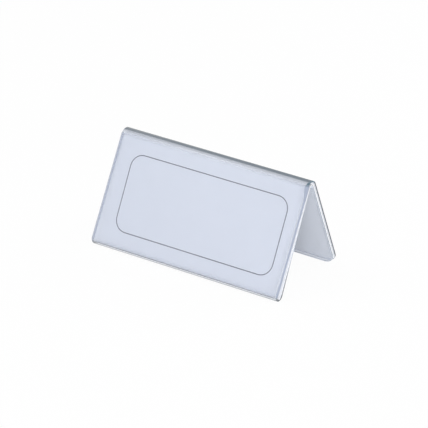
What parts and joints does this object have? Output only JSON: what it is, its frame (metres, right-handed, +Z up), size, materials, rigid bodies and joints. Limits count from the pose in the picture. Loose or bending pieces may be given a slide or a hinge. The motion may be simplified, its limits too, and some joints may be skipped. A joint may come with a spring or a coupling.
{
  "type": "table name holder",
  "caption": "Tent-shaped table name holder: one bent strip of clear film with a folded insert card that slides between its walls from either end.",
  "frame": {"origin": "on the table, under the middle of the holder's length and half way between its foot and its rear edge", "axes": "+X along the ridge, -Y towards the front panel, +Z up"},
  "size_m": [0.1014, 0.0524, 0.0497],
  "materials": {
    "clear_film": "clear glossy film with a faint blue tint and darker cut edges",
    "white_card": "smooth matt white card with a thin grey printed frame line"
  },
  "bodies": {
    "holder": {"film_holder": "clear_film"},
    "card": {"insert_card": "white_card"}
  },
  "joints": [
    {"name": "card_slide", "type": "slide", "parent": "holder", "child": "card", "axis": [1, 0, 0], "range_m": [-0.101, 0.101]}
  ]
}
